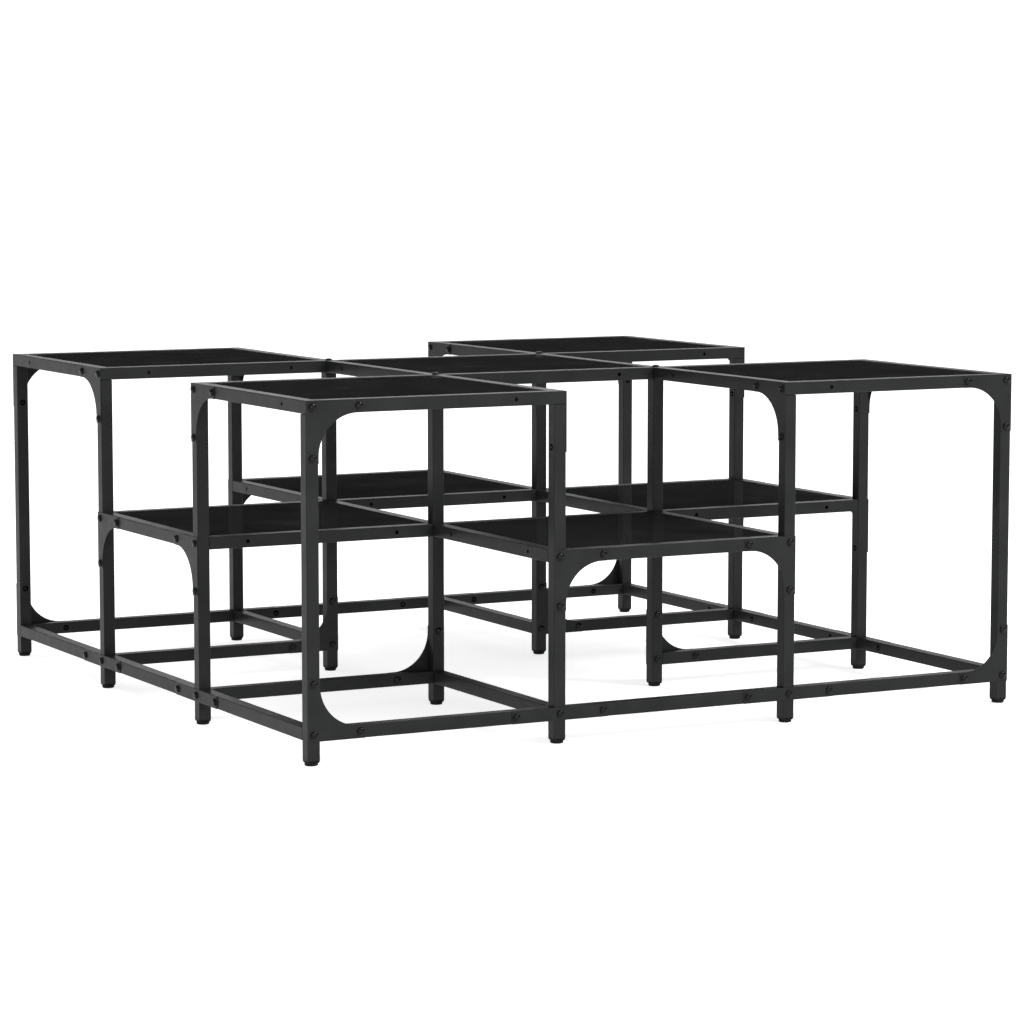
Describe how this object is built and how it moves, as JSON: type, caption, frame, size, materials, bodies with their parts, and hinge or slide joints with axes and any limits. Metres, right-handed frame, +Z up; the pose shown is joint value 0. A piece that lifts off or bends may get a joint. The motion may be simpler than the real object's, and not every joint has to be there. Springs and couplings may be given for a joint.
{
  "type": "modular coffee table",
  "caption": "Square coffee table of black square tube on a three by three grid, with high and low black glass tops, curved corner brackets and domed bolts.",
  "frame": {"origin": "on the floor under the middle of the table", "axes": "+Z up; X and Y along the sides of the square, with -Y towards the front. The pair of legs at the front with no base rail between them is right of the front shelf, towards +X"},
  "size_m": [1.0086, 1.0086, 0.4333],
  "materials": {
    "black_steel": "satin black powder coat with a fine texture",
    "black_glass": "polished black tempered glass, opaque, with ground edges",
    "foot_plastic": "moulded black plastic",
    "bolt_steel": "black domed bolts, slightly glossy"
  },
  "bodies": {
    "root": {"base_rail_x_0_0": "black_steel", "base_rail_x_0_1": "black_steel", "base_rail_x_0_2": "black_steel", "base_rail_x_0_3": "black_steel", "base_rail_x_1_0": "black_steel", "base_rail_x_1_3": "black_steel", "base_rail_x_2_0": "black_steel", "base_rail_x_2_1": "black_steel", "base_rail_x_2_2": "black_steel", "base_rail_x_2_3": "black_steel", "base_rail_y_0_1": "black_steel", "base_rail_y_3_1": "black_steel", "foot_0_0": "foot_plastic", "foot_0_1": "foot_plastic", "foot_0_2": "foot_plastic", "foot_0_3": "foot_plastic", "foot_1_0": "foot_plastic", "foot_1_1": "foot_plastic", "foot_1_2": "foot_plastic", "foot_1_3": "foot_plastic", "foot_2_0": "foot_plastic", "foot_2_1": "foot_plastic", "foot_2_2": "foot_plastic", "foot_2_3": "foot_plastic", "foot_3_0": "foot_plastic", "foot_3_1": "foot_plastic", "foot_3_2": "foot_plastic", "foot_3_3": "foot_plastic", "leg_2_0": "black_steel", "leg_2_1": "black_steel", "leg_frame_back_0_2": "black_steel", "leg_frame_back_1_2": "black_steel", "leg_frame_back_2_2": "black_steel", "leg_frame_back_3_2": "black_steel", "leg_frame_front_0_0": "black_steel", "leg_frame_front_1_0": "black_steel", "leg_frame_front_3_0": "black_steel", "shelf_frame_0_1": "black_steel", "shelf_frame_1_0": "black_steel", "shelf_frame_1_2": "black_steel", "shelf_frame_2_1": "black_steel", "shelf_glass_0_1": "black_glass", "shelf_glass_1_0": "black_glass", "shelf_glass_1_2": "black_glass", "shelf_glass_2_1": "black_glass", "top_frame_centre": "black_steel", "top_glass_0_0": "black_glass", "top_glass_0_2": "black_glass", "top_glass_1_1": "black_glass", "top_glass_2_0": "black_glass", "top_glass_2_2": "black_glass", "top_ring_0_0": "black_steel", "top_ring_0_2": "black_steel", "top_ring_2_0": "black_steel", "top_ring_2_2": "black_steel", "top_screw_1_1": "bolt_steel", "top_screw_1_2": "bolt_steel", "top_screw_2_1": "bolt_steel", "top_screw_2_2": "bolt_steel"}
  },
  "joints": []
}
